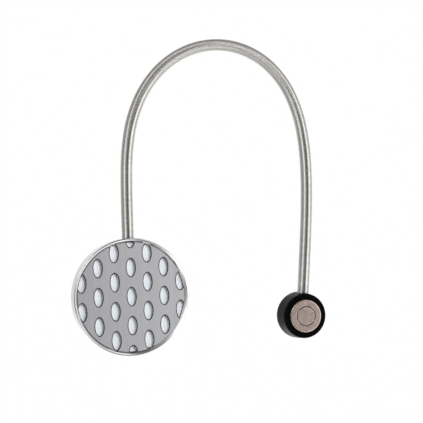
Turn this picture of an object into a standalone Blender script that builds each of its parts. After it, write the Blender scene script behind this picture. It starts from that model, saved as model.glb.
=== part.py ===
"""Magnetic curtain tieback: a chromed decorative disc head, a flexible close-wound spring arm
bent into an inverted U, and a round magnet puck on the arm's far end.

Frame: origin at the centre of the head's rear magnet face. +Y points out of that face, away from
the decorative front. +Z runs up the arm's root, and the arm's bend lies in a plane parallel to XZ.
The spring and the wire core inside it are each one real piece, cut here into LINKS lengths
joined by hinges so that the arm can bend.
"""

import math

import bmesh
import bpy
from mathutils import Matrix, Vector

MM = 0.001

# ---- driving dimensions, in millimetres and degrees -------------------------------------
GAP = 0.3  # clearance between neighbouring pieces
CHAMFER = 0.3  # on the head's lip and the pots
FINE_CHAMFER = 0.2  # on the seats, the cover and the plugs
# spring, core and plugs
SPRING_R = 2.5  # outer radius of the close-wound spring
SPRING_WALL = 0.55
SPRING_BORE_R = SPRING_R + GAP  # hole that takes the spring, in the rim and in the puck
SPRING_SIDES = 16
CORE_R = 1.2
CORE_SIDES = 8
PLUG_R = 1.6
TAIL_R = 0.75
TAIL_BORE_R = TAIL_R + GAP
SPIGOT = 5.0  # how far a plug reaches into the spring
# magnets: pots of one radius sit in the head's back and in the puck's front
POT_R = 7.2
POT_BORE_R = 4.4
POT_FLOOR = 1.0
POT_POCKET_R = POT_R + GAP
HEAD_POT_H = 3.3
PUCK_POT_H = 3.8
MAGNET_R = POT_BORE_R - GAP
MAGNET_CHAMFER = 0.15
# head
HEAD_R = 25.0  # outer radius of the chromed shell
HEAD_FRONT_Y = -7.0  # front edge of the lip
HEAD_REAR_Y = -0.4  # rear edge of the shell
HEAD_FRONT_EDGE = 0.95  # rounding of the shell's outer edges
HEAD_REAR_EDGE = 0.7
LIP_R = 23.5  # inner radius of the lip
WEB_FRONT_Y = -4.2  # front face of the web that closes the shell
COVER_SEAT_Y = -1.5  # floor of the rear recess that takes the back cover
COVER_SEAT_R = 22.3
COVER_R = COVER_SEAT_R - GAP
COVER_FRONT_Y = COVER_SEAT_Y + GAP
COVER_BORE_R = 7.6
PLATE_R = 23.1  # face plate, and the backing disc behind it
PLATE_FRONT_Y = -6.35
PLATE_T = 1.1
BACKING_FRONT_Y = PLATE_FRONT_Y + PLATE_T + GAP
BACKING_T = 0.4
HEAD_TAIL_BORE_END = 14.0  # height at which the root plug's bore ends
NOTCH_LOW = LIP_R + 0.1  # floor of the notch in the rim
NOTCH_HIGH = HEAD_R + 3.0  # top of its cutters, clear of the rim
NOTCH_REAR_Y = 2.0  # rear of its slot cutter, clear of the shell
# oval windows in the face plate
OVAL_HALF_WIDTH = 2.2
OVAL_HALF_HEIGHT = 4.2
OVAL_PITCH_X = 7.25
OVAL_PITCH_Z = 12.3  # odd columns are offset by half of it
OVAL_MARGIN = 0.2  # windows that reach in less than this past the plate's edge are left out
OVAL_OVERCUT = 1.0
# arm
ARM_Y = -2.9  # plane of the arm's centreline
ARM_LENGTH = 235.69  # centreline length from the rim to PUCK_REACH short of the puck's centre
LINKS = 16
LINK_L = ARM_LENGTH / LINKS
LINK_GAP = 0.7  # clearance at each hinge
BEND_PEAK = 27.09  # turn of one link at the crown before the ramps take effect, degrees
RAMP_UP, RAMP_UP_W = 0.1428, 0.0326  # where the bend begins, as a share of the length; softness
RAMP_DOWN, RAMP_DOWN_W = 0.6391, 0.0677  # where it ends; softness
BEND_SKEW = 1.4214  # how much tighter the far shoulder is than the near one
ARC_STEP = 6.0  # turn of one mesh step along the arm, degrees
ROOT_SINK = 1.1  # how far the spring's foot sits in the rim's notch
# puck, in its own frame: Y as the world's, +Z towards the arm
PUCK_REACH = 10.0  # from the puck's centre to the end of ARM_LENGTH
PUCK_R_FRONT = 9.6
PUCK_R_REAR = 10.2
PUCK_FRONT_Y = -4.2
PUCK_REAR_Y = PUCK_FRONT_Y + 8.7
PUCK_FRONT_EDGE = 0.5
PUCK_REAR_EDGE = 0.8
PUCK_PROUD = 1.2  # how far the pot stands out of the puck's front face
PUCK_POCKET_Y = PUCK_FRONT_Y - PUCK_PROUD + PUCK_POT_H + GAP  # floor of the pot's pocket
PUCK_TUBE_END = 8.1  # radius at which the spring ends inside the puck
PUCK_TUBE_LEAD = PUCK_REACH - PUCK_TUBE_END  # straight length of spring past the last link
PUCK_TUBE_CUT = 6.0  # length of the spring bore's cutter
PUCK_TAIL_BORE_END = 2.5  # radius at which the end plug's bore ends

# turns a piece so that its local +Z points along +Y or along -Y
Z_TO_REAR = Matrix.Rotation(-math.pi / 2, 4, "X")
Z_TO_FRONT = Matrix.Rotation(math.pi / 2, 4, "X")

# ---- scene -------------------------------------------------------------------------------
for old in list(bpy.data.objects):
    bpy.data.objects.remove(old, do_unlink=True)

parts = bpy.data.collections.new("curtain_tieback")
cutters = bpy.data.collections.new("cutters")
bpy.context.scene.collection.children.link(parts)
bpy.context.scene.collection.children.link(cutters)


# ---- materials ---------------------------------------------------------------------------
def material(name, color, roughness, metallic):
    mat = bpy.data.materials.new(name)
    mat.use_nodes = True
    bsdf = mat.node_tree.nodes["Principled BSDF"]
    bsdf.inputs["Base Color"].default_value = (*color, 1.0)
    bsdf.inputs["Roughness"].default_value = roughness
    bsdf.inputs["Metallic"].default_value = metallic
    mat.diffuse_color = (*color, 1.0)
    return mat


CHROME = material("chrome_shell", color=(0.80, 0.80, 0.80), roughness=0.08, metallic=1.0)
SATIN = material("satin_face_plate", color=(0.40, 0.40, 0.42), roughness=0.38, metallic=0.8)
BRIGHT = material("bright_backing", color=(0.82, 0.85, 0.90), roughness=0.45, metallic=0.2)
BLACK = material("black_plastic", color=(0.012, 0.012, 0.013), roughness=0.45, metallic=0.0)
NICKEL = material("nickel_magnet", color=(0.46, 0.41, 0.38), roughness=0.32, metallic=1.0)
STEEL = material("spring_steel", color=(0.60, 0.59, 0.57), roughness=0.25, metallic=1.0)
CORE = material("annealed_core_wire", color=(0.34, 0.33, 0.32), roughness=0.45, metallic=1.0)
PLUG = material("plug_steel", color=(0.55, 0.55, 0.55), roughness=0.35, metallic=1.0)


# ---- building helpers --------------------------------------------------------------------
def mm(x, y, z):
    """A vector in metres from millimetres."""
    return Vector((x * MM, y * MM, z * MM))


def add_object(name, bm, collection, matrix):
    mesh = bpy.data.meshes.new(name)
    bm.to_mesh(mesh)
    bm.free()
    obj = bpy.data.objects.new(name, mesh)
    collection.objects.link(obj)
    obj.matrix_world = matrix
    return obj


def add_part(name, bm, mat, matrix):
    """A visible piece, smooth shaded with its sharper edges kept."""
    obj = add_object(name, bm, parts, matrix)
    obj.data.materials.append(mat)
    obj.data.shade_smooth()
    obj.data.set_sharp_from_angle(angle=math.radians(35.0))
    return obj


def turned(name, profile, mat, steps, matrix, closed=False):
    """A turned piece: the profile (radius, height) spun about its own Z by a Screw modifier."""
    bm = bmesh.new()
    verts = [bm.verts.new(mm(radius, 0.0, height)) for radius, height in profile]
    for start, end in zip(verts, verts[1:]):
        bm.edges.new((start, end))
    if closed:
        bm.edges.new((verts[-1], verts[0]))
    obj = add_part(name, bm, mat, matrix)
    screw = obj.modifiers.new("turn", "SCREW")
    screw.axis = "Z"
    screw.angle = math.tau
    screw.steps = steps
    screw.render_steps = steps
    screw.use_merge_vertices = True
    screw.merge_threshold = 0.00001
    screw.use_smooth_shade = False
    return obj


def rounded(before, corner, after, radius):
    """Profile points of the arc that rounds a corner, from the incoming to the outgoing side."""
    steps = 3
    corner = Vector(corner)
    to_before = (Vector(before) - corner).normalized()
    to_after = (Vector(after) - corner).normalized()
    half = to_before.angle(to_after) / 2
    reach = radius / math.tan(half)
    centre = corner + (to_before + to_after).normalized() * radius / math.sin(half)
    spoke = corner + to_before * reach - centre
    last_spoke = corner + to_after * reach - centre
    total = -spoke.angle_signed(last_spoke)  # angle_signed counts clockwise as positive
    points = []
    for i in range(steps + 1):
        c, s = math.cos(total * i / steps), math.sin(total * i / steps)
        points.append((centre.x + spoke.x * c - spoke.y * s, centre.y + spoke.x * s + spoke.y * c))
    return points


def cylinder(bm, radius, depth, sides, matrix):
    bmesh.ops.create_cone(
        bm, cap_ends=True, segments=sides, radius1=radius, radius2=radius, depth=depth, matrix=matrix
    )


def add_cutter(name, bm, matrix=Matrix.Identity(4)):
    obj = add_object(name, bm, cutters, matrix)
    obj.hide_render = True
    obj.display_type = "WIRE"
    return obj


def bore_cutter(name, radius, low, high, sides, y=0.0, matrix=Matrix.Identity(4)):
    """A cylinder along Z from low to high."""
    bm = bmesh.new()
    middle = Matrix.Translation(mm(0.0, y, (low + high) / 2))
    cylinder(bm, radius * MM, (high - low) * MM, sides, middle)
    return add_cutter(name, bm, matrix)


def cut(obj, *tools):
    for tool in tools:
        mod = obj.modifiers.new("cut_" + tool.name, "BOOLEAN")
        mod.operation = "DIFFERENCE"
        mod.solver = "EXACT"
        mod.object = tool


# ---- arm path ----------------------------------------------------------------------------
# a station is (x, z, heading); heading is in radians from +Z towards +X
def link_turn(link):
    """Turn of a link in radians: a soft-edged plateau of curvature, skewed to the far shoulder."""
    share = (link + 0.5) / LINKS
    rise = 1.0 / (1.0 + math.exp(-(share - RAMP_UP) / RAMP_UP_W))
    fall = 1.0 / (1.0 + math.exp((share - RAMP_DOWN) / RAMP_DOWN_W))
    return math.radians(BEND_PEAK) * rise * fall * (1.0 + BEND_SKEW * (share - 0.5))


def advance(station, turn, distance):
    """The station a distance further on, along an arc that makes the turn in one link length."""
    x, z, heading = station
    bend_r = LINK_L / turn
    ahead = heading + distance / bend_r
    return (
        x + bend_r * (math.cos(heading) - math.cos(ahead)),
        z + bend_r * (math.sin(ahead) - math.sin(heading)),
        ahead,
    )


TURNS = [link_turn(link) for link in range(LINKS)]
STATIONS = [(0.0, HEAD_R, 0.0)]  # the link boundaries, from the rim on
for link_angle in TURNS:
    STATIONS.append(advance(STATIONS[-1], link_angle, LINK_L))


# ---- arm ---------------------------------------------------------------------------------
def extrude(bm, loop, heading, length):
    """Extend an edge loop straight along a heading, and return the new end loop."""
    made = bmesh.ops.extrude_edge_only(bm, edges=loop)["geom"]
    verts = [item for item in made if isinstance(item, bmesh.types.BMVert)]
    step = mm(length * math.sin(heading), 0.0, length * math.cos(heading))
    bmesh.ops.translate(bm, verts=verts, vec=step)
    return [item for item in made if isinstance(item, bmesh.types.BMEdge)]


def sweep_link(bm, link, radius, sides, begin, finish, lead_in=0.0, lead_out=0.0):
    """Sweep a circle along a link's arc from begin to finish, with straight leads at its ends.

    Returns the first and the last edge loop.
    """
    turn = TURNS[link]
    x, z, heading = advance(STATIONS[link], turn, begin)
    x -= lead_in * math.sin(heading)
    z -= lead_in * math.cos(heading)
    frame = Matrix.Translation(mm(x, ARM_Y, z)) @ Matrix.Rotation(heading, 4, "Y")
    circle = bmesh.ops.create_circle(
        bm, cap_ends=False, radius=radius * MM, segments=sides, matrix=frame
    )
    first_loop = list({edge for vert in circle["verts"] for edge in vert.link_edges})
    loop = first_loop
    if lead_in:
        loop = extrude(bm, loop, heading, lead_in)

    # the arc's centre lies to the right of the heading for a clockwise turn
    x, z, heading = STATIONS[link]
    bend_r = LINK_L / turn
    made = bmesh.ops.spin(
        bm,
        geom=loop,
        cent=mm(x + bend_r * math.cos(heading), ARM_Y, z - bend_r * math.sin(heading)),
        axis=(0.0, 1.0, 0.0),
        angle=turn * (finish - begin) / LINK_L,
        steps=max(2, round(math.degrees(turn) / ARC_STEP)),
        use_duplicate=False,
    )["geom_last"]
    loop = [item for item in made if isinstance(item, bmesh.types.BMEdge)]
    if lead_out:
        loop = extrude(bm, loop, heading + turn * finish / LINK_L, lead_out)
    return first_loop, loop


def add_link_part(name, bm, mat, link):
    """A piece of a link, with its origin on the hinge at the link's root end."""
    x, z, _ = STATIONS[link]
    hinge = mm(x, ARM_Y, z)
    bmesh.ops.recalc_face_normals(bm, faces=bm.faces)
    bmesh.ops.translate(bm, verts=bm.verts, vec=-hinge)
    return add_part(name, bm, mat, Matrix.Translation(hinge))


def build_spring_link(link):
    """A length of the spring as a tube; the end links run on into the head and the puck."""
    first, last = link == 0, link == LINKS - 1
    bm = bmesh.new()
    sweep_link(
        bm,
        link,
        SPRING_R,
        SPRING_SIDES,
        begin=0.0 if first else LINK_GAP / 2,
        finish=LINK_L if last else LINK_L - LINK_GAP / 2,
        lead_in=ROOT_SINK if first else 0.0,
        lead_out=PUCK_TUBE_LEAD if last else 0.0,
    )
    spring = add_link_part(f"arm_spring_{link + 1:02d}", bm, STEEL, link)
    wall = spring.modifiers.new("wall", "SOLIDIFY")
    wall.thickness = SPRING_WALL * MM
    wall.offset = -1.0
    wall.use_rim = True


def build_core_link(link):
    """A length of the solid wire core, which stops short of the plugs at the arm's two ends."""
    begin, finish = LINK_GAP / 2, LINK_L - LINK_GAP / 2
    if link == 0:
        begin = SPIGOT - ROOT_SINK + GAP
    if link == LINKS - 1:
        finish = LINK_L + PUCK_TUBE_LEAD - SPIGOT - GAP
    bm = bmesh.new()
    for loop in sweep_link(bm, link, CORE_R, CORE_SIDES, begin, finish):
        bmesh.ops.holes_fill(bm, edges=loop, sides=0)
    add_link_part(f"arm_core_{link + 1:02d}", bm, CORE, link)


# ---- pieces shared by the head and the puck ----------------------------------------------
def build_pot(name, height, matrix):
    """Cup that holds a magnet, mouth up at height 0."""
    profile = [
        (0.0, -height + POT_FLOOR),
        (POT_BORE_R, -height + POT_FLOOR),
        (POT_BORE_R, 0.0),
        (POT_R - CHAMFER, 0.0),
        (POT_R, -CHAMFER),
        (POT_R, -height),
        (0.0, -height),
    ]
    return turned(name, profile, NICKEL, steps=40, matrix=matrix)


def build_magnet(name, pot_height, matrix):
    """Magnet flush with its pot's mouth and clear of its floor."""
    bottom = -(pot_height - POT_FLOOR - GAP)
    profile = [
        (0.0, 0.0),
        (MAGNET_R - MAGNET_CHAMFER, 0.0),
        (MAGNET_R, -MAGNET_CHAMFER),
        (MAGNET_R, bottom),
        (0.0, bottom),
    ]
    return turned(name, profile, NICKEL, steps=32, matrix=matrix)


def build_plug(name, shoulder_z, bore_end_z, matrix):
    """A stepped pin: a thick spigot in the spring's bore and a thin tail in the neighbour's."""
    spigot_z = shoulder_z + SPIGOT
    tail_z = bore_end_z + GAP
    profile = [
        (0.0, spigot_z),
        (PLUG_R - FINE_CHAMFER, spigot_z),
        (PLUG_R, spigot_z - FINE_CHAMFER),
        (PLUG_R, shoulder_z),
        (TAIL_R, shoulder_z),
        (TAIL_R, tail_z),
        (0.0, tail_z),
    ]
    return turned(name, profile, PLUG, steps=20, matrix=matrix)


# ---- head: profile heights are world Y ---------------------------------------------------
def build_shell():
    """Chromed shell, with a U-shaped notch in the rim for the spring's foot, open to the rear."""
    front, rear = HEAD_FRONT_Y, HEAD_REAR_Y
    pocket_y = -HEAD_POT_H - GAP
    profile = [
        (0.0, pocket_y),
        (POT_POCKET_R, pocket_y),
        (POT_POCKET_R, COVER_SEAT_Y),
        (COVER_SEAT_R, COVER_SEAT_Y),
        (COVER_SEAT_R, rear - FINE_CHAMFER),
        (COVER_SEAT_R + FINE_CHAMFER, rear),
        *rounded((COVER_SEAT_R, rear), (HEAD_R, rear), (HEAD_R, front), HEAD_REAR_EDGE),
        *rounded((HEAD_R, rear), (HEAD_R, front), (LIP_R, front), HEAD_FRONT_EDGE),
        (LIP_R + CHAMFER, front),
        (LIP_R, front + CHAMFER),
        (LIP_R, WEB_FRONT_Y),
        (0.0, WEB_FRONT_Y),
    ]
    shell = turned("head_shell", profile, CHROME, steps=64, matrix=Z_TO_REAR)

    notch = bore_cutter("cut_rim_notch", SPRING_BORE_R, NOTCH_LOW, NOTCH_HIGH, sides=24, y=ARM_Y)
    bm = bmesh.new()
    centre = mm(0.0, (ARM_Y + NOTCH_REAR_Y) / 2, (NOTCH_LOW + NOTCH_HIGH) / 2)
    size = mm(2 * SPRING_BORE_R, NOTCH_REAR_Y - ARM_Y, NOTCH_HIGH - NOTCH_LOW)
    box = Matrix.Translation(centre) @ Matrix.Diagonal((*size, 1.0))
    bmesh.ops.create_cube(bm, size=1.0, matrix=box)
    slot = add_cutter("cut_rim_slot", bm)
    tail = bore_cutter(
        "cut_tail_bore", TAIL_BORE_R, HEAD_TAIL_BORE_END, HEAD_R, sides=16, y=ARM_Y
    )
    cut(shell, notch, slot, tail)


def build_disc(name, front_y, thickness, mat, steps):
    """A plain disc of the face plate's radius."""
    rear_y = front_y + thickness
    profile = [(0.0, rear_y), (PLATE_R, rear_y), (PLATE_R, front_y), (0.0, front_y)]
    return turned(name, profile, mat, steps, Z_TO_REAR)


def oval_centres():
    """Staggered columns of windows whose ovals reach inside the plate's edge."""
    centres = []
    for column in range(-3, 4):
        for half_row in range(-4, 5):
            if (half_row - column) % 2:
                continue
            x, z = column * OVAL_PITCH_X, half_row * OVAL_PITCH_Z / 2
            nearest_z = max(0.0, abs(z) - OVAL_HALF_HEIGHT / 2)
            if math.hypot(x, nearest_z) < PLATE_R - OVAL_MARGIN:
                centres.append((x, z))
    return centres


def build_face_plate():
    """Face plate with its oval windows; the windows at the edge run off it."""
    plate = build_disc("face_plate", PLATE_FRONT_Y, PLATE_T, SATIN, steps=64)
    size = mm(OVAL_HALF_WIDTH, OVAL_HALF_HEIGHT, PLATE_T + OVAL_OVERCUT)
    oval = Z_TO_FRONT @ Matrix.Diagonal((*size, 1.0))
    bm = bmesh.new()
    for x, z in oval_centres():
        centre = Matrix.Translation(mm(x, PLATE_FRONT_Y + PLATE_T / 2, z))
        cylinder(bm, radius=1.0, depth=1.0, sides=20, matrix=centre @ oval)
    cut(plate, add_cutter("cut_ovals", bm))


def build_back_cover():
    """Black ring that closes the head's back around the pot."""
    profile = [
        (COVER_BORE_R, HEAD_REAR_Y),
        (COVER_R - FINE_CHAMFER, HEAD_REAR_Y),
        (COVER_R, HEAD_REAR_Y - FINE_CHAMFER),
        (COVER_R, COVER_FRONT_Y),
        (COVER_BORE_R, COVER_FRONT_Y),
    ]
    turned("back_cover", profile, BLACK, steps=56, matrix=Z_TO_REAR, closed=True)


def build_head():
    build_shell()
    build_face_plate()
    build_disc("backing_disc", BACKING_FRONT_Y, BACKING_T, BRIGHT, steps=56)
    build_back_cover()
    build_pot("head_pot_cup", HEAD_POT_H, Z_TO_REAR)
    build_magnet("head_magnet", HEAD_POT_H, Z_TO_REAR)
    arm_root = Matrix.Translation(mm(0.0, ARM_Y, 0.0))
    build_plug("root_plug", HEAD_R - ROOT_SINK, HEAD_TAIL_BORE_END, arm_root)


# ---- puck --------------------------------------------------------------------------------
def build_housing(frame):
    """Tapered black housing with a front pocket for the pot and a stepped bore for the arm."""
    front, rear = PUCK_FRONT_Y, PUCK_REAR_Y
    front_corner, rear_corner = (PUCK_R_FRONT, front), (PUCK_R_REAR, rear)
    profile = [
        (0.0, rear),
        *rounded((0.0, rear), rear_corner, (PUCK_R_REAR, front), PUCK_REAR_EDGE),
        *rounded(rear_corner, front_corner, (POT_POCKET_R, front), PUCK_FRONT_EDGE),
        (POT_POCKET_R + FINE_CHAMFER, front),
        (POT_POCKET_R, front + FINE_CHAMFER),
        (POT_POCKET_R, PUCK_POCKET_Y),
        (0.0, PUCK_POCKET_Y),
    ]
    housing = turned("puck_housing", profile, BLACK, steps=56, matrix=frame @ Z_TO_REAR)
    low = PUCK_TUBE_END - GAP
    tube = bore_cutter(
        "cut_puck_tube_bore", SPRING_BORE_R, low, low + PUCK_TUBE_CUT, sides=24, matrix=frame
    )
    tail = bore_cutter(
        "cut_puck_tail_bore", TAIL_BORE_R, PUCK_TAIL_BORE_END, PUCK_R_REAR, sides=16, matrix=frame
    )
    cut(housing, tube, tail)
    return housing


def build_puck():
    """The puck's pieces, parented to an empty at its centre on the arm's plane."""
    x, z, heading = STATIONS[-1]
    x += PUCK_REACH * math.sin(heading)
    z += PUCK_REACH * math.cos(heading)
    frame = Matrix.Translation(mm(x, ARM_Y, z)) @ Matrix.Rotation(heading - math.pi, 4, "Y")
    puck_frame = bpy.data.objects.new("puck_frame", None)
    parts.objects.link(puck_frame)
    puck_frame.matrix_world = frame

    pot_face = frame @ Matrix.Translation(mm(0.0, PUCK_FRONT_Y - PUCK_PROUD, 0.0)) @ Z_TO_FRONT
    pieces = [
        build_housing(frame),
        build_pot("puck_pot_cup", PUCK_POT_H, pot_face),
        build_magnet("puck_magnet", PUCK_POT_H, pot_face),
        build_plug("end_plug", PUCK_TUBE_END, PUCK_TAIL_BORE_END, frame),
    ]
    bpy.context.view_layer.update()
    for piece in pieces:
        # parenting must leave the piece where it stands
        world = piece.matrix_world.copy()
        piece.parent = puck_frame
        piece.matrix_parent_inverse = frame.inverted()
        piece.matrix_world = world
    bpy.context.view_layer.update()


for link_number in range(LINKS):
    build_spring_link(link_number)
    build_core_link(link_number)
build_head()
build_puck()
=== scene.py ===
"""A round magnetic head joined by a bent, close-wound spring arm to a small magnetic puck.

The head's axis is Y through the origin: its windowed face plate looks along -Y (the front, towards
the camera) and its magnet along +Y (the rear). The arm leaves the head's top edge along +Z, bends
over towards +X and comes down to the puck, whose magnet looks along -Y.
Shapes are worked out in mm and scaled to metres as each mesh is made.
"""
import math

import bmesh
import bpy
import numpy as np
from mathutils import Matrix, Vector


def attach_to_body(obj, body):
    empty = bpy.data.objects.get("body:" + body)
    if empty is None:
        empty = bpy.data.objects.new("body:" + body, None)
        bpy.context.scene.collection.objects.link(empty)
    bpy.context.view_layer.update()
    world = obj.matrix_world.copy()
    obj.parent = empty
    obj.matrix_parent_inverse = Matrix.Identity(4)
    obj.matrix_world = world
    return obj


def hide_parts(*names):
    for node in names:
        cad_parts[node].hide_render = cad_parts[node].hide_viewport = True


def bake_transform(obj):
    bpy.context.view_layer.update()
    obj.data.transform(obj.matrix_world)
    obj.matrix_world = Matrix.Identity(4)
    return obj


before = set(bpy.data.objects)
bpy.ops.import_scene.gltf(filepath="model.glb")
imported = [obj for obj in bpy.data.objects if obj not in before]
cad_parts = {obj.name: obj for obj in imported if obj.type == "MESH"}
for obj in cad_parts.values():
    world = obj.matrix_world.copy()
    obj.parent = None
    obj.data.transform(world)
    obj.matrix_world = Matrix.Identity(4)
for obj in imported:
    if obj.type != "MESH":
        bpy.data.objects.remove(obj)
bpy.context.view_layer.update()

MM = 0.001

# ---------------------------------------------------------------- dimensions, in mm
HEAD_R = 25.0
CREST_R, CREST_Y = 24.55, -7.36     # the rim's front crest
BEVEL_MID_R, BEVEL_MID_Y = 23.94, -7.02     # the bevel is steeper below this ring
BEVEL_FOOT_R = 23.35
PLATE_SEAM = 0.05                   # open seam between the plate's edge and the bevel's foot

PLATE_R = 23.1                      # backing disc, and the outer limit of the windows
PLATE_FRONT_Y, PLATE_T = -6.35, 1.1
PLATE_EDGE_R = BEVEL_FOOT_R - PLATE_SEAM
BACKING_FRONT_Y, BACKING_T = -4.95, 0.4

OVAL_A, OVAL_B = 2.2, 4.2           # window half width (X) and half height (Z)
OVAL_DX, OVAL_DZ = 7.15, 12.3       # column pitch, and row pitch within a column
OVAL_SHIFT_X, OVAL_SHIFT_Z = 0.05, 0.19
OVAL_ROW_SLOPE = 0.018              # the rows fall this much per mm of x
OVAL_MARGIN = 0.2
OVAL_SEG = 64
SINK, SINK_DEPTH = 0.40, 0.12       # the countersink's width on each side, and its depth
WALL_SPLIT = 0.5                    # depth at which the window walls turn from dark to bright

POT_R, POT_WALL_R, MAGNET_R = 7.2, 4.4, 4.1
POT_FLOOR = 1.0
MAGNET_SINK = 0.3                   # gap in depth between the magnet and the pot's floor

ARM_Y = -2.9
ARM_LENGTH = 235.69
LINKS = 16
LINK_L = ARM_LENGTH / LINKS
HINGES = range(2, LINKS, 2)         # the arm bends between bodies after these links

# turn per link in degrees, its two ramps as fractions of the arm's length, and its skew
BEND_PEAK = 27.09
RAMP_UP, RAMP_UP_W = 0.1428, 0.0326
RAMP_DOWN, RAMP_DOWN_W = 0.6391, 0.0677
BEND_SKEW = 1.4214

COIL_R = 2.61
TURNS_PER_LINK = 29
PITCH = LINK_L / TURNS_PER_LINK
WIRE_R, WIRE_HALF_W = 0.185, 0.245  # the wire is a little flat: half thickness and half width
HELIX_R = COIL_R - WIRE_R
TURN_STEPS = 30
WIRE_SIDES = 10
ROOT_SINK, TIP_SINK = 1.1, 1.8      # how far the coil runs into the head and the puck
NOTCH_R = COIL_R + 0.2
NOTCH_LOW_Z, NOTCH_HIGH_Z = 23.6, HEAD_R + 3.0
NOTCH_REAR_Y = 2.0

PUCK_REACH = 10.0                   # from the arm's end to the puck's axis
PUCK_FRONT_R, PUCK_REAR_R = 9.6, 10.2
PUCK_FLARE = 0.18                   # the moulding's edge stands proud of the plain cone
PUCK_FRONT_Y = ARM_Y - 4.2
PUCK_REAR_Y = PUCK_FRONT_Y + 8.7
PUCK_POCKET_R, PUCK_POCKET_DEPTH = 7.5, 2.9
PUCK_PROUD = 1.2                    # how far its magnet stands out in front
BORE_R = COIL_R + 0.12
BORE_START, BORE_LENGTH = 8.0, 6.0  # start measured from the puck's axis

SHARP_ANGLE = 35.0


# ---------------------------------------------------------------- arm path
def link_turn(i):
    """Angle in radians through which link i bends."""
    along = (i + 0.5) / LINKS
    rise = 1 / (1 + math.exp(-(along - RAMP_UP) / RAMP_UP_W))
    fall = 1 / (1 + math.exp((along - RAMP_DOWN) / RAMP_DOWN_W))
    return math.radians(BEND_PEAK) * rise * fall * (1 + BEND_SKEW * (along - 0.5))


def link_stations(turns):
    """x, z and heading (from +Z towards +X) at each link's start and at the arm's end."""
    stations = [(0.0, HEAD_R, 0.0)]
    for turn in turns:
        x, z, heading = stations[-1]
        radius = LINK_L / turn
        stations.append((
            x + radius * (math.cos(heading) - math.cos(heading + turn)),
            z + radius * (math.sin(heading + turn) - math.sin(heading)),
            heading + turn,
        ))
    return stations


link_turns = [link_turn(i) for i in range(LINKS)]
stations = link_stations(link_turns)
end_x, end_z, end_heading = stations[-1]
PUCK_X = end_x + PUCK_REACH * math.sin(end_heading)
PUCK_Z = end_z + PUCK_REACH * math.cos(end_heading)
PUCK_TURN = end_heading - math.pi


def path(lengths):
    """Centreline x, z and heading at an array of arc lengths; straight beyond both ends."""
    lengths = np.asarray(lengths, float)
    link = np.clip(np.floor(lengths / LINK_L).astype(int), 0, LINKS - 1)
    start_x, start_z, start_heading = np.array(stations)[link].T
    turn = np.array(link_turns)[link]
    into_link = np.clip(lengths - link * LINK_L, 0.0, LINK_L)
    radius = LINK_L / turn
    heading = start_heading + turn * into_link / LINK_L
    x = start_x + radius * (np.cos(start_heading) - np.cos(heading))
    z = start_z + radius * (np.sin(heading) - np.sin(start_heading))
    past_end = np.where(lengths > ARM_LENGTH, lengths - ARM_LENGTH, 0.0)
    over = np.where(lengths < 0, lengths, past_end)
    return x + over * np.sin(heading), z + over * np.cos(heading), heading


# ---------------------------------------------------------------- mesh helpers
def link_object(name, mesh):
    obj = bpy.data.objects.new(name, mesh)
    bpy.context.scene.collection.objects.link(obj)
    return obj


def make_mesh(name, verts, faces, materials=()):
    """Verts in mm; faces as index tuples."""
    mesh = bpy.data.meshes.new(name)
    mesh.from_pydata([tuple(v) for v in (np.asarray(verts, float) * MM)], [], faces)
    for mat in materials:
        mesh.materials.append(mat)
    obj = link_object(name, mesh)
    finish_mesh(obj, sharp=None)
    return obj


def finish_mesh(obj, sharp=SHARP_ANGLE, flats=False):
    """Smooth shading with sharp edges; with flats, the faces square to Y stay flat shaded."""
    mesh = obj.data
    mesh.validate()
    mesh.polygons.foreach_set("use_smooth", np.ones(len(mesh.polygons), bool))
    if sharp is not None:
        mesh.set_sharp_from_angle(angle=math.radians(sharp))
    if flats:
        normals = np.array([tuple(p.normal) for p in mesh.polygons])
        mesh.polygons.foreach_set("use_smooth", np.abs(normals[:, 1]) < 0.9999)
    mesh.update()


def turn_outward(obj):
    """Points every face normal outwards."""
    bm = bmesh.new()
    bm.from_mesh(obj.data)
    bmesh.ops.recalc_face_normals(bm, faces=bm.faces)
    bm.to_mesh(obj.data)
    bm.free()


def cut(obj, cutter, sharp=SHARP_ANGLE):
    """Takes cutter out of obj and removes the cutter."""
    mod = obj.modifiers.new("cut", "BOOLEAN")
    mod.operation = "DIFFERENCE"
    mod.solver = "EXACT"
    mod.object = cutter
    bpy.context.view_layer.update()
    depsgraph = bpy.context.evaluated_depsgraph_get()
    new = bpy.data.meshes.new_from_object(
        obj.evaluated_get(depsgraph), preserve_all_data_layers=False, depsgraph=depsgraph
    )
    obj.modifiers.clear()
    old = obj.data
    obj.data = new
    new.name = obj.name
    bpy.data.meshes.remove(old)
    bpy.data.objects.remove(cutter)
    finish_mesh(obj, sharp, flats=True)


def band(first, second):
    """Faces between two rings of vertex indices; a ring of one vertex is a pole."""
    count = max(len(first), len(second))
    if count == 1:
        return []
    faces = []
    for k in range(count):
        after = (k + 1) % count
        if len(first) == 1:
            faces.append((first[0], second[k], second[after]))
        elif len(second) == 1:
            faces.append((first[k], first[after], second[0]))
        else:
            faces.append((first[k], first[after], second[after], second[k]))
    return faces


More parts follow.
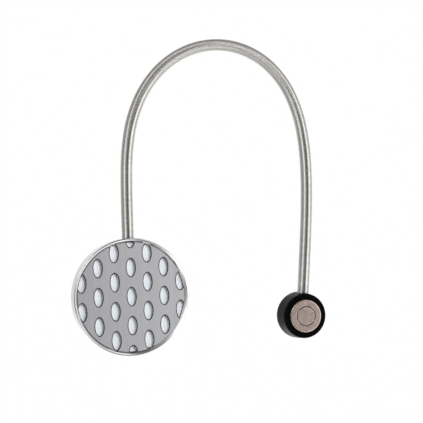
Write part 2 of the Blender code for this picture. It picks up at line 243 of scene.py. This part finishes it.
def fillet(corners, seg):
    """Rounds a closed profile of (r, y, corner radius) with seg steps a corner."""
    out = []
    for i, (*corner, radius) in enumerate(corners):
        corner = np.array(corner, float)
        if radius <= 0:
            out.append(tuple(corner))
            continue
        to_prev = np.array(corners[i - 1][:2], float) - corner
        to_next = np.array(corners[(i + 1) % len(corners)][:2], float) - corner
        prev_length, next_length = np.linalg.norm(to_prev), np.linalg.norm(to_next)
        to_prev, to_next = to_prev / prev_length, to_next / next_length
        angle = math.acos(max(-1.0, min(1.0, float(to_prev @ to_next))))
        trim = min(radius / math.tan(angle / 2), prev_length * 0.98, next_length * 0.98)
        radius = trim * math.tan(angle / 2)
        middle = (to_prev + to_next) / np.linalg.norm(to_prev + to_next)
        centre = corner + middle * radius / math.sin(angle / 2)
        start, end = corner + to_prev * trim, corner + to_next * trim
        start_angle = math.atan2(*(start - centre)[::-1])
        end_angle = math.atan2(*(end - centre)[::-1])
        sweep = (end_angle - start_angle + math.pi) % (2 * math.pi) - math.pi
        for k in range(seg + 1):
            at = start_angle + sweep * k / seg
            out.append((centre[0] + radius * math.cos(at), centre[1] + radius * math.sin(at)))
    return out


def support(profile, shortest=0.35, inset=0.03):
    """Adds a point near each end of every long straight, so smooth shading stays true on it."""
    out = []
    for i, p in enumerate(profile):
        q = profile[(i + 1) % len(profile)]
        length = math.dist(p, q)
        out.append(p)
        if length > shortest:
            for end, t in ((p, inset / length), (q, 1 - inset / length)):
                if end[0] > 1e-6:
                    out.append((p[0] + (q[0] - p[0]) * t, p[1] + (q[1] - p[1]) * t))
    return out


def lathe(name, profile, materials, seg, centre=(0.0, 0.0)):
    """Turns a closed (r, y) profile about the Y axis through centre=(x, z)."""
    verts, rings = [], []
    for r, y in support(profile):
        first = len(verts)
        if r < 1e-6:
            verts.append((centre[0], y, centre[1]))
        else:
            for k in range(seg):
                a = 2 * math.pi * (k + 0.5) / seg
                verts.append((centre[0] + r * math.cos(a), y, centre[1] + r * math.sin(a)))
        rings.append(range(first, len(verts)))
    faces = []
    for i, ring in enumerate(rings):
        faces += band(ring, rings[(i + 1) % len(rings)])
    obj = make_mesh(name, verts, faces, materials)
    turn_outward(obj)
    finish_mesh(obj, flats=True)
    return obj


def disc_profile(radius, first, second, seg):
    """A solid disc between two faces, each given as (y, edge radius)."""
    (first_y, first_round), (second_y, second_round) = first, second
    return fillet(
        [
            (0.0, first_y, 0),
            (radius, first_y, first_round),
            (radius, second_y, second_round),
            (0.0, second_y, 0),
        ],
        seg,
    )


def attach(obj, node, body):
    """Puts obj in place of a CAD node, moving with a body."""
    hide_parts(node)
    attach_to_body(obj, body)


# ---------------------------------------------------------------- shader helpers
def colour(value):
    """RGBA from a grey level or an RGB triple."""
    if isinstance(value, (int, float)):
        value = (value, value, value)
    return (*value, 1.0)


class Nodes:
    """Builds the node tree of a material or a world. Positions are in metres."""

    def __init__(self, owner):
        owner.use_nodes = True
        owner.node_tree.nodes.clear()
        self.owner = owner
        self.tree = owner.node_tree

    def add(self, kind, **settings):
        node = self.tree.nodes.new(kind)
        for key, value in settings.items():
            setattr(node, key, value)
        return node

    def feed(self, socket, value):
        """Links value into socket if it is an output, or else sets it."""
        if isinstance(value, bpy.types.NodeSocket):
            self.tree.links.new(value, socket)
        else:
            socket.default_value = colour(value) if socket.type == "RGBA" else value

    def coords(self, output="Object"):
        return self.add("ShaderNodeTexCoord").outputs[output]

    def ray(self, kind):
        return self.add("ShaderNodeLightPath").outputs[kind]

    def math(self, operation, *values):
        node = self.add("ShaderNodeMath", operation=operation)
        for socket, value in zip(node.inputs, values):
            self.feed(socket, value)
        return node.outputs[0]

    def vector_math(self, operation, *values, scale=None):
        node = self.add("ShaderNodeVectorMath", operation=operation)
        for socket, value in zip(node.inputs, values):
            self.feed(socket, value)
        if scale is not None:
            self.feed(node.inputs["Scale"], scale)
        return node.outputs["Value" if operation in ("DOT_PRODUCT", "LENGTH") else "Vector"]

    def dot(self, vector, axis):
        return self.vector_math("DOT_PRODUCT", vector, tuple(axis))

    def noise(self, vector, scale=1.0, detail=3.0, rough=0.5, stretch=None):
        """Noise; stretch scales the position on each axis first."""
        node = self.add("ShaderNodeTexNoise")
        node.inputs["Scale"].default_value = scale
        node.inputs["Detail"].default_value = detail
        node.inputs["Roughness"].default_value = rough
        if stretch is not None:
            mapping = self.add("ShaderNodeMapping")
            mapping.inputs["Scale"].default_value = stretch
            self.feed(mapping.inputs["Vector"], vector)
            vector = mapping.outputs["Vector"]
        self.feed(node.inputs["Vector"], vector)
        return node.outputs["Fac"]

    def ramp(self, value, stops):
        """A linear ramp through (position, grey level) stops."""
        node = self.add("ShaderNodeValToRGB")
        elements = node.color_ramp.elements
        while len(elements) > 1:
            elements.remove(elements[-1])
        elements[0].position = stops[0][0]
        elements[0].color = colour(stops[0][1])
        for position, level in stops[1:]:
            elements.new(position).color = colour(level)
        self.feed(node.inputs["Fac"], value)
        return node.outputs["Color"]

    def remap(self, value, between=(0.3, 0.7), to=(0.0, 1.0), smooth=False):
        node = self.add("ShaderNodeMapRange", clamp=True)
        if smooth:
            node.interpolation_type = "SMOOTHSTEP"
        for key, number in zip(("From Min", "From Max", "To Min", "To Max"), (*between, *to)):
            node.inputs[key].default_value = number
        self.feed(node.inputs["Value"], value)
        return node.outputs["Result"]

    def mix(self, factor, first, second, blend="MIX"):
        node = self.add("ShaderNodeMix", data_type="RGBA", blend_type=blend)
        # the colour inputs A and B of this node are its sockets 6 and 7
        for index, value in ((0, factor), (6, first), (7, second)):
            self.feed(node.inputs[index], value)
        return node.outputs[2]

    def mottle(self, noise, first, second, between=(0.3, 0.7)):
        """Two colours mixed by a noise."""
        return self.mix(self.remap(noise, between), first, second)

    def bump(self, height, strength, distance):
        node = self.add("ShaderNodeBump")
        node.inputs["Strength"].default_value = strength
        node.inputs["Distance"].default_value = distance
        self.feed(node.inputs["Height"], height)
        return node.outputs["Normal"]

    def emitter(self, kind, light):
        """An emission or background shader."""
        node = self.add(kind)
        self.feed(node.inputs["Color"], light)
        return node.outputs[0]

    def principled(self, base, roughness, metallic=0.0, specular=0.5, normal=None):
        node = self.add("ShaderNodeBsdfPrincipled")
        self.feed(node.inputs["Base Color"], base)
        self.feed(node.inputs["Roughness"], roughness)
        self.feed(node.inputs["Metallic"], metallic)
        self.feed(node.inputs["Specular IOR Level"], specular)
        if normal is not None:
            self.feed(node.inputs["Normal"], normal)
        return node.outputs[0]

    def mix_shaders(self, factor, first, second):
        node = self.add("ShaderNodeMixShader")
        for socket, value in zip(node.inputs, (factor, first, second)):
            self.feed(socket, value)
        return node.outputs[0]

    def finish(self, shader, kind="ShaderNodeOutputMaterial"):
        """Sends shader to the output and returns the material or world."""
        self.feed(self.add(kind).inputs["Surface"], shader)
        return self.owner


def new_material(name):
    return Nodes(bpy.data.materials.new(name))


# ---------------------------------------------------------------- materials
def chrome_material():
    nodes = new_material("polished_chrome")
    position = nodes.coords()
    haze = nodes.noise(position, scale=260.0, detail=4.0)
    fine = nodes.noise(position, scale=2600.0, detail=2.0)
    # the rim's crest is worn to a softer polish
    radius = nodes.vector_math(
        "LENGTH", nodes.vector_math("MULTIPLY", position, (1.0, 0.0, 1.0))
    )
    forward = nodes.dot(position, (0.0, -1.0, 0.0))
    crest = nodes.math(
        "MULTIPLY",
        nodes.remap(radius, between=(0.0239, 0.02405)),
        nodes.remap(forward, between=(0.0068, 0.0070)),
    )
    polish = nodes.remap(haze, between=(0.3, 0.75), to=(0.02, 0.05))
    crest_roughness = 0.17
    return nodes.finish(nodes.principled(
        base=nodes.mottle(haze, (0.90, 0.90, 0.90), (0.86, 0.86, 0.855), between=(0.35, 0.7)),
        metallic=1.0,
        roughness=nodes.math("MULTIPLY_ADD", crest, crest_roughness, polish),
        normal=nodes.bump(fine, strength=0.04, distance=0.00002),
    ))


def satin_material():
    """Brushed along Z; painted light makes it a little brighter towards +X, and a painted dark
    reflection makes it nearly black to glossy rays.
    """
    nodes = new_material("satin_plate")
    position = nodes.coords()
    streak = nodes.noise(position, detail=3.0, rough=0.6, stretch=(2600.0, 900.0, 34.0))
    broad = nodes.noise(position, detail=2.0, stretch=(240.0, 60.0, 16.0))
    base = nodes.mottle(
        streak, (0.50, 0.497, 0.515), (0.56, 0.557, 0.575), between=(0.25, 0.75)
    )
    base = nodes.mix(nodes.remap(broad, to=(0.0, 0.35)), base, (0.585, 0.582, 0.60))
    # painted light: the base colour is scaled from 0.93 at -X to 1.07 at +X, a lighting gradient
    # painted into the plate
    painted_light_across = nodes.remap(
        nodes.dot(position, (1.0, 0.0, 0.0)), between=(-0.024, 0.024), to=(0.93, 1.07)
    )
    base = nodes.vector_math("SCALE", base, scale=painted_light_across)
    # painted reflection: glossy rays see the plate nearly black, so its reflections in the chrome
    # rim are painted dark
    glossy_share = 0.85
    painted_dark_reflection = nodes.math("MULTIPLY", nodes.ray("Is Glossy Ray"), glossy_share)
    return nodes.finish(nodes.principled(
        base=nodes.mix(painted_dark_reflection, base, (0.02, 0.02, 0.022)),
        metallic=0.55,
        roughness=nodes.remap(streak, between=(0.2, 0.8), to=(0.30, 0.46)),
        normal=nodes.bump(streak, strength=0.12, distance=0.00002),
    ))


def window_edge_material():
    nodes = new_material("window_edge_dark")
    grain = nodes.noise(nodes.coords(), scale=1800.0)
    return nodes.finish(nodes.principled(
        base=nodes.mottle(grain, (0.012, 0.013, 0.018), (0.03, 0.032, 0.042)),
        roughness=nodes.remap(grain, to=(0.32, 0.5)),
        specular=0.15,
        normal=nodes.bump(grain, strength=0.2, distance=0.00003),
    ))


def backing_material():
    nodes = new_material("bright_backing")
    position = nodes.coords()
    cloud = nodes.noise(position, scale=500.0)
    streak = nodes.noise(position, detail=2.0, stretch=(1800.0, 900.0, 60.0))
    return nodes.finish(nodes.principled(
        base=nodes.mottle(cloud, (0.725, 0.746, 0.772), (0.695, 0.718, 0.748)),
        roughness=nodes.remap(streak, to=(0.42, 0.58)),
        normal=nodes.bump(streak, strength=0.1, distance=0.00002),
    ))


def plastic_material(name, low, high, rough, specular, front_specular):
    """Plastic from low to high colour; front_specular holds where the surface looks along -Y."""
    nodes = new_material(name)
    position = nodes.coords()
    grain = nodes.noise(position, scale=5200.0, detail=2.0)
    cloud = nodes.noise(position, scale=300.0)
    facing = nodes.dot(nodes.coords("Normal"), (0.0, -1.0, 0.0))
    return nodes.finish(nodes.principled(
        base=nodes.mottle(cloud, low, high),
        roughness=nodes.remap(cloud, to=(rough - 0.04, rough + 0.06)),
        specular=nodes.remap(facing, between=(0.75, 0.98), to=(specular, front_specular)),
        normal=nodes.bump(grain, strength=0.35, distance=0.00003),
    ))


def nickel_material():
    nodes = new_material("nickel_plate")
    position = nodes.coords()
    cloud = nodes.noise(position, scale=700.0, detail=4.0, rough=0.6)
    fine = nodes.noise(position, scale=4200.0, detail=2.0)
    return nodes.finish(nodes.principled(
        base=nodes.mottle(cloud, (0.595, 0.483, 0.43), (0.66, 0.545, 0.487)),
        metallic=1.0,
        roughness=nodes.remap(cloud, to=(0.30, 0.42)),
        normal=nodes.bump(fine, strength=0.18, distance=0.00003),
    ))


def wire_material():
    nodes = new_material("spring_wire")
    position = nodes.coords()
    stain = nodes.noise(position, scale=160.0)
    fine = nodes.noise(position, scale=3500.0, detail=2.0)
    return nodes.finish(nodes.principled(
        base=nodes.mottle(stain, (0.745, 0.73, 0.705), (0.68, 0.665, 0.64)),
        metallic=1.0,
        roughness=nodes.remap(fine, to=(0.11, 0.17)),
    ))


def steel_material(name, base, rough):
    nodes = new_material(name)
    fine = nodes.noise(nodes.coords(), scale=1500.0)
    return nodes.finish(nodes.principled(
        base=nodes.mottle(fine, base, tuple(v * 0.85 for v in base)),
        metallic=1.0,
        roughness=nodes.remap(fine, to=(rough - 0.05, rough + 0.08)),
        normal=nodes.bump(fine, strength=0.1, distance=0.00002),
    ))


CHROME = chrome_material()
SATIN = satin_material()
EDGE = window_edge_material()
BACKING = backing_material()
BLACK = plastic_material(
    "black_plastic", low=(0.0020, 0.0019, 0.0019), high=(0.0032, 0.0032, 0.0033),
    rough=0.38, specular=0.12, front_specular=0.0144,
)
COVER = plastic_material(
    "back_cover_plastic", low=(0.010, 0.010, 0.011), high=(0.016, 0.016, 0.017),
    rough=0.5, specular=0.5, front_specular=0.5,
)
NICKEL = nickel_material()
WIRE = wire_material()
CORE = steel_material("core_wire", base=(0.34, 0.33, 0.32), rough=0.5)
PLUG = steel_material("plug_steel", base=(0.55, 0.55, 0.55), rough=0.35)


# ---------------------------------------------------------------- head
def notch_cutter():
    """U-shaped prism along Z for the spring's foot, open to the rear."""
    outline = [
        (NOTCH_R * math.cos(a), ARM_Y + NOTCH_R * math.sin(a))
        for a in np.linspace(math.pi, 2 * math.pi, 33)
    ]
    outline += [(NOTCH_R, NOTCH_REAR_Y), (-NOTCH_R, NOTCH_REAR_Y)]
    count = len(outline)
    verts = [(x, y, z) for z in (NOTCH_LOW_Z, NOTCH_HIGH_Z) for x, y in outline]
    faces = [tuple(range(count)), tuple(range(count, 2 * count))[::-1]]
    for i in range(count):
        j = (i + 1) % count
        faces.append((i, count + i, count + j, j))
    tool = make_mesh("notch", verts, faces)
    turn_outward(tool)
    return tool


def build_shell():
    """The chrome rim and the web behind the plate."""
    profile = [     # r, y, corner radius
        (0.0, -3.6, 0),
        (POT_R + 0.3, -3.6, 0.1),
        (POT_R + 0.3, -1.5, 0.15),
        (22.3, -1.5, 0.1),
        (22.3, -0.4, 0.18),
        (HEAD_R, -0.4, 0.7),
        (HEAD_R, CREST_Y, 0.56),
        (CREST_R - 0.12, CREST_Y, 0.16),
        (BEVEL_MID_R, BEVEL_MID_Y, 0.06),
        (BEVEL_FOOT_R, -6.3, 0.0),
        (BEVEL_FOOT_R, -5.6, 0.0),
        (PLATE_R + 0.4, -5.2, 0.1),
        (PLATE_R + 0.4, -4.2, 0.1),
        (0.0, -4.2, 0),
    ]
    shell = lathe("head_rim_and_web", fillet(profile, seg=8), [CHROME], seg=256)
    cut(shell, notch_cutter())
    attach(shell, "head_shell", "head")


def oval_centres():
    """Window centres (x, z): staggered columns, kept where they fit the plate."""
    centres = []
    for column in range(-3, 4):
        for half_row in range(-4, 5):
            if (half_row - column) % 2:
                continue
            x, z = column * OVAL_DX, half_row * OVAL_DZ / 2
            if math.hypot(x, max(0.0, abs(z) - OVAL_B * 0.5)) < PLATE_R - OVAL_MARGIN:
                centres.append((x + OVAL_SHIFT_X, z + OVAL_SHIFT_Z - OVAL_ROW_SLOPE * x))
    return centres


def oval_cutter():
    """Oval columns along Y that narrow through the countersink."""
    levels = [      # y, how far the oval is drawn in
        (PLATE_FRONT_Y - 1.0, 0.0),
        (PLATE_FRONT_Y, 0.0),
        (PLATE_FRONT_Y + SINK_DEPTH, SINK),
        (PLATE_FRONT_Y + WALL_SPLIT, SINK),
        (PLATE_FRONT_Y + PLATE_T + 1.0, SINK),
    ]
    verts, faces = [], []
    for centre_x, centre_z in oval_centres():
        rings = []
        for y, inset in levels:
            rings.append(range(len(verts), len(verts) + OVAL_SEG))
            for k in range(OVAL_SEG):
                a = 2 * math.pi * k / OVAL_SEG
                x = centre_x + (OVAL_A - inset) * math.cos(a)
                z = centre_z + (OVAL_B - inset) * math.sin(a)
                verts.append((x, y, z))
        for first, second in zip(rings, rings[1:]):
            faces += band(first, second)
        faces += [tuple(rings[0])[::-1], tuple(rings[-1])]
    tool = make_mesh("ovals", verts, faces, [EDGE])
    turn_outward(tool)
    return tool


def build_plate():
    """The satin disc with countersunk oval windows."""
    profile = disc_profile(
        PLATE_EDGE_R, (PLATE_FRONT_Y + PLATE_T, 0.05), (PLATE_FRONT_Y, 0.05), seg=3
    )
    satin, dark, bright = range(3)
    plate = lathe("face_plate_fine", profile, [SATIN, EDGE, BACKING], seg=256)
    cut(plate, oval_cutter(), sharp=12.0)
    # countersinks and front part of the walls dark, the rest of the walls bright
    mesh = plate.data
    index = np.full(len(mesh.polygons), satin, np.int32)
    for face in mesh.polygons:
        centre = face.center / MM
        on_outer_edge = math.hypot(centre.x, centre.z) > PLATE_EDGE_R - 0.03
        if not on_outer_edge and abs(face.normal.y) < 0.985:
            index[face.index] = dark if centre.y < PLATE_FRONT_Y + WALL_SPLIT else bright
    mesh.polygons.foreach_set("material_index", index)
    mesh.update()
    attach(plate, "face_plate", "head")


def build_backing():
    """The bright disc behind the windows."""
    profile = disc_profile(
        PLATE_R, (BACKING_FRONT_Y + BACKING_T, 0.06), (BACKING_FRONT_Y, 0.06), seg=3
    )
    backing = lathe("backing_disc_fine", profile, [BACKING], seg=192)
    attach(backing, "backing_disc", "head")


def build_cover():
    """The rear ring round the head's magnet, with a shallow groove near each edge."""
    profile = [     # r, y, corner radius
        (7.6, -1.2, 0.1), (22.0, -1.2, 0.1), (22.0, -0.4, 0.25),
        (20.6, -0.4, 0.1), (20.4, -0.62, 0.1), (19.9, -0.62, 0.1), (19.7, -0.4, 0.1),
        (9.6, -0.4, 0.1), (9.4, -0.62, 0.1), (8.9, -0.62, 0.1), (8.7, -0.4, 0.1),
        (7.6, -0.4, 0.25),
    ]
    cover = lathe("back_cover_fine", fillet(profile, seg=4), [COVER], seg=192)
    attach(cover, "back_cover", "head")


def build_pot_and_magnet(body, face_y, out, height, centre=(0.0, 0.0)):
    """A steel cup round a magnet; out is +1 if the open face looks along +Y, -1 along -Y."""
    def at(depth):
        return face_y - out * depth

    cup_profile = [     # r, y, corner radius
        (0.0, at(height), 0),
        (POT_R, at(height), 0.25),
        (POT_R, at(0), 0.5),
        (POT_WALL_R, at(0), 0.22),
        (POT_WALL_R, at(height - POT_FLOOR), 0.05),
        (0.0, at(height - POT_FLOOR), 0),
    ]
    pot = lathe(body + "_pot_cup_fine", fillet(cup_profile, seg=7), [NICKEL], 160, centre)
    attach(pot, body + "_pot_cup", body)
    magnet_profile = disc_profile(
        MAGNET_R, (at(0), 0.24), (at(height - POT_FLOOR - MAGNET_SINK), 0.1), seg=6
    )
    magnet = lathe(body + "_magnet_fine", magnet_profile, [NICKEL], 128, centre)
    attach(magnet, body + "_magnet", body)


# ---------------------------------------------------------------- puck
def bore_cutter():
    """A cylinder along the arm's end, for the spring."""
    bm = bmesh.new()
    bmesh.ops.create_cone(
        bm, cap_ends=True, segments=64,
        radius1=BORE_R * MM, radius2=BORE_R * MM, depth=BORE_LENGTH * MM,
        matrix=Matrix.Translation((PUCK_X * MM, ARM_Y * MM, PUCK_Z * MM))
        @ Matrix.Rotation(PUCK_TURN, 4, "Y")
        @ Matrix.Translation((0.0, 0.0, (BORE_START + BORE_LENGTH / 2) * MM)),
    )
    mesh = bpy.data.meshes.new("bore")
    bm.to_mesh(mesh)
    bm.free()
    return link_object("bore", mesh)


def build_housing():
    """The puck's black body, with a pocket in front for its pot."""
    pocket_y = PUCK_FRONT_Y + PUCK_POCKET_DEPTH
    profile = [     # r, y, corner radius
        (0.0, pocket_y, 0),
        (PUCK_POCKET_R, pocket_y, 0.1),
        (PUCK_POCKET_R, PUCK_FRONT_Y, 0.22),
        (PUCK_FRONT_R + PUCK_FLARE + 0.03, PUCK_FRONT_Y, 0.6),
        (PUCK_REAR_R + PUCK_FLARE, PUCK_REAR_Y, 0.8),
        (0.0, PUCK_REAR_Y, 0),
    ]
    housing = lathe(
        "puck_housing_fine", fillet(profile, seg=8), [BLACK], seg=192, centre=(PUCK_X, PUCK_Z)
    )
    cut(housing, bore_cutter())
    attach(housing, "puck_housing", "puck")


# ---------------------------------------------------------------- arm
def coil(name, start, end):
    """The wound wire between two arc lengths; all pieces share one winding phase."""
    step = np.arange(
        round(start / PITCH * TURN_STEPS), round(end / PITCH * TURN_STEPS) + 1
    )
    x, z, heading = path(step * PITCH / TURN_STEPS)
    zero = np.zeros_like(heading)
    angle = (2 * math.pi * step / TURN_STEPS)[:, None]
    normal = np.stack([np.cos(heading), zero, -np.sin(heading)], 1)
    binormal = np.array([0.0, 1.0, 0.0])
    tangent = np.stack([np.sin(heading), zero, np.cos(heading)], 1)
    radial = np.cos(angle) * normal + np.sin(angle) * binormal
    around = -np.sin(angle) * normal + np.cos(angle) * binormal
    slope = PITCH / (2 * math.pi * HELIX_R)
    wire_way = around + slope * tangent
    wire_way /= np.linalg.norm(wire_way, axis=1)[:, None]
    side = np.cross(wire_way, radial)
    centre = np.stack([x, np.full_like(x, ARM_Y), z], 1) + HELIX_R * radial
    section = (2 * math.pi * np.arange(WIRE_SIDES) / WIRE_SIDES)[None, :, None]
    verts = (
        centre[:, None, :]
        + WIRE_R * np.cos(section) * radial[:, None, :]
        + WIRE_HALF_W * np.sin(section) * side[:, None, :]
    ).reshape(-1, 3)
    rings = [range(i, i + WIRE_SIDES) for i in range(0, len(verts), WIRE_SIDES)]
    faces = []
    for first, second in zip(rings, rings[1:]):
        faces += band(first, second)
    faces += [tuple(rings[0]), tuple(rings[-1])[::-1]]
    obj = make_mesh(name, verts, faces, [WIRE])
    turn_outward(obj)
    finish_mesh(obj, sharp=60.0)
    return obj


def build_arm():
    """One wire in pieces: each runs from a link before its hinge to a link after it."""
    root = coil("arm_coil_root", -ROOT_SINK, LINK_L)
    attach(root, "arm_spring_01", "head")
    for i, hinge in enumerate(HINGES):
        start, end = (hinge - 1) * LINK_L, (hinge + 1) * LINK_L
        piece = coil(f"arm_coil_{i + 1:02d}", start, end)
        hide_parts(f"arm_spring_{hinge:02d}", f"arm_spring_{hinge + 1:02d}")
        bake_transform(piece)
    tip = coil("arm_coil_tip", (LINKS - 1) * LINK_L, ARM_LENGTH + TIP_SINK)
    attach(tip, f"arm_spring_{LINKS:02d}", "puck")


def use_material(node, mat):
    """Gives a CAD piece that is kept as it is a single material."""
    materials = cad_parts[node].data.materials
    materials.clear()
    materials.append(mat)


build_shell()
build_plate()
build_backing()
build_cover()
build_pot_and_magnet("head", face_y=0.0, out=1, height=3.3)
build_pot_and_magnet(
    "puck", face_y=PUCK_FRONT_Y - PUCK_PROUD, out=-1, height=3.8, centre=(PUCK_X, PUCK_Z)
)
build_housing()
build_arm()
for k in range(1, LINKS + 1):
    use_material(f"arm_core_{k:02d}", CORE)
use_material("root_plug", PLUG)
use_material("end_plug", PLUG)

# ---------------------------------------------------------------- camera
CAMERA_AZIMUTH, CAMERA_ROLL = -17.6, 1.9        # degrees
CAMERA_TARGET = Vector((0.35, ARM_Y, 0.0))      # mm
CAMERA_RIGHT, CAMERA_UP, CAMERA_BACK = 34.5, 36.2, 547.7    # mm from the target


def build_camera():
    """Makes the camera and returns its right, up and back directions."""
    azimuth = math.radians(CAMERA_AZIMUTH)
    back = Vector((math.sin(azimuth), -math.cos(azimuth), 0.0))
    right = Vector((math.cos(azimuth), math.sin(azimuth), 0.0))
    up = Vector((0.0, 0.0, 1.0))
    place = CAMERA_TARGET + CAMERA_RIGHT * right + CAMERA_UP * up + CAMERA_BACK * back
    # rolled about the Y axis through the target
    roll = (
        Matrix.Translation(CAMERA_TARGET)
        @ Matrix.Rotation(math.radians(CAMERA_ROLL), 4, "Y")
        @ Matrix.Translation(-CAMERA_TARGET)
    )
    axes = Matrix((right, up, back)).transposed().to_4x4()
    location, rotation, _ = (roll @ (Matrix.Translation(place) @ axes)).decompose()
    data = bpy.data.cameras.new("camera")
    data.lens = 109.45
    data.sensor_width = 36.0
    data.clip_start, data.clip_end = 0.01, 20.0
    camera = link_object("camera", data)
    camera.rotation_mode = "QUATERNION"
    camera.location = location * MM
    camera.rotation_quaternion = rotation
    bpy.context.scene.camera = camera
    return [rotation @ Vector(axis) for axis in ((1, 0, 0), (0, 1, 0), (0, 0, 1))]


# ---------------------------------------------------------------- studio
# azimuth from the camera's direction in degrees, brightness
ROUND = [
    (-180, 1.15), (-168, 1.1), (-155, 0.85), (-140, 0.68), (-120, 0.62), (-100, 0.5),
    (-88, 0.40), (-74, 0.52), (-62, 0.74), (-52, 1.08), (-44, 2.0), (-34, 1.9),
    (-24, 0.8), (-14, 0.45), (-2, 0.42), (8, 0.32), (18, 0.16), (28, 0.12),
    (38, 0.28), (48, 0.8), (58, 1.75), (72, 1.75), (86, 0.85), (110, 0.8),
    (130, 0.80), (155, 0.85), (170, 1.1), (180, 1.15),
]
# height from the bottom (0) to the top (1) of the surroundings, brightness
TALL = [
    (0.0, 1.0), (0.065, 0.8), (0.25, 1.4), (0.4, 0.95), (0.5, 0.9),
    (0.64, 0.85), (0.8, 0.72), (0.935, 0.5), (1.0, 0.62),
]
# soft cards: azimuth and elevation from the camera's direction in degrees, gain (below 0 is a
# dark card), and how tightly each is gathered
CARDS = [
    (-43, -15, -0.89, 7.8),
    (70, 11, 1.8, 22.0),
    (-44, 37, 2.1, 15.0),
    (33, 50, -0.80, 3.7),
    (-16, -44, 0.9, 22.0),
    (44, 50, 4.0, 26.0),
    (20, 52, 2.0, 26.0),
]


def card_light(nodes, direction, right, up, back):
    """The product of all the cards."""
    cards = None
    for azimuth, elevation, gain, gather in CARDS:
        a, e = math.radians(azimuth), math.radians(elevation)
        aim = (
            right * (math.sin(a) * math.cos(e)) + up * math.sin(e)
            + back * (math.cos(a) * math.cos(e))
        )
        falloff = nodes.math("MULTIPLY_ADD", nodes.dot(direction, aim), gather, -gather)
        card = nodes.math("MULTIPLY_ADD", nodes.math("EXPONENT", falloff), gain, 1.0)
        cards = card if cards is None else nodes.math("MULTIPLY", cards, card)
    return cards


def build_world(right, up, back):
    """Surroundings that light the object; the camera itself sees plain white."""
    world = bpy.data.worlds.new("studio")
    bpy.context.scene.world = world
    nodes = Nodes(world)
    direction = nodes.coords("Generated")
    toward_right = nodes.dot(direction, right)
    toward_up = nodes.dot(direction, up)
    toward_back = nodes.dot(direction, back)
    angle = nodes.math("ARCTAN2", toward_right, toward_back)
    azimuth = nodes.math("ADD", nodes.math("DIVIDE", angle, 2 * math.pi), 0.5)
    around = nodes.ramp(azimuth, [((a + 180) / 360, level) for a, level in ROUND])
    tall = nodes.ramp(nodes.math("MULTIPLY_ADD", toward_up, 0.5, 0.5), TALL)
    # the azimuth pattern fades to an even grey at the poles
    poles = nodes.remap(
        nodes.math("ABSOLUTE", toward_up), between=(0.86, 1.0), to=(0.0, 0.7), smooth=True
    )
    soft = nodes.mix(poles, first=around, second=0.7)
    light = nodes.mix(1.0, soft, tall, blend="MULTIPLY")
    cards = card_light(nodes, direction, right, up, back)
    studio = nodes.emitter(
        "ShaderNodeBackground", nodes.vector_math("SCALE", light, scale=cards)
    )
    white = nodes.emitter("ShaderNodeBackground", 1.0)
    shader = nodes.mix_shaders(nodes.ray("Is Camera Ray"), studio, white)
    nodes.finish(shader, kind="ShaderNodeOutputWorld")


FLOOR_Z = -150.0            # well below the hanging object
FLOOR_HALF_WIDTH = 1400.0
FLOOR_FRONT_Y, FLOOR_REAR_Y = -900.0, 400.0
SWEEP_R, SWEEP_STEPS = 250.0, 24
BACKDROP_TOP_Z = 1200.0


def floor_material():
    nodes = new_material("studio_floor")
    white = nodes.emitter("ShaderNodeEmission", 1.0)
    camera_share = nodes.math("MULTIPLY", nodes.ray("Is Camera Ray"), 0.995)
    matt = nodes.principled(base=(0.86, 0.86, 0.855), roughness=0.9)
    return nodes.finish(nodes.mix_shaders(camera_share, matt, white))


def build_floor():
    """A pale floor that curves up into a backdrop."""
    profile = [(FLOOR_FRONT_Y, FLOOR_Z), (FLOOR_REAR_Y, FLOOR_Z)]
    for k in range(1, SWEEP_STEPS + 1):
        a = math.pi / 2 * k / SWEEP_STEPS
        y = FLOOR_REAR_Y + SWEEP_R * math.sin(a)
        profile.append((y, FLOOR_Z + SWEEP_R * (1 - math.cos(a))))
    profile.append((FLOOR_REAR_Y + SWEEP_R, BACKDROP_TOP_Z))
    verts = [(x, y, z) for x in (-FLOOR_HALF_WIDTH, FLOOR_HALF_WIDTH) for y, z in profile]
    count = len(profile)
    faces = [(i, i + 1, count + i + 1, count + i) for i in range(count - 1)]
    floor = make_mesh("studio_floor", verts, faces, [floor_material()])
    floor.visible_glossy = False
    floor.visible_diffuse = False


def build_key():
    """Soft key from the upper right in front, for the matt and satin surfaces."""
    azimuth, elevation = math.radians(20), math.radians(24)
    distance = 0.7      # metres
    data = bpy.data.lights.new("soft_key", "AREA")
    data.shape = "SQUARE"
    data.size = 0.32
    data.energy = 3.5
    key = link_object("soft_key", data)
    toward = Vector((
        math.sin(azimuth) * math.cos(elevation),
        -math.cos(azimuth) * math.cos(elevation),
        math.sin(elevation),
    ))
    key.location = toward * distance
    key.rotation_mode = "QUATERNION"
    key.rotation_quaternion = toward.to_track_quat("Z", "Y")
    key.visible_glossy = False
    key.visible_camera = False


camera_axes = build_camera()
bpy.context.scene.view_settings.view_transform = "Standard"
build_world(*camera_axes)
build_floor()
build_key()

bpy.context.view_layer.update()
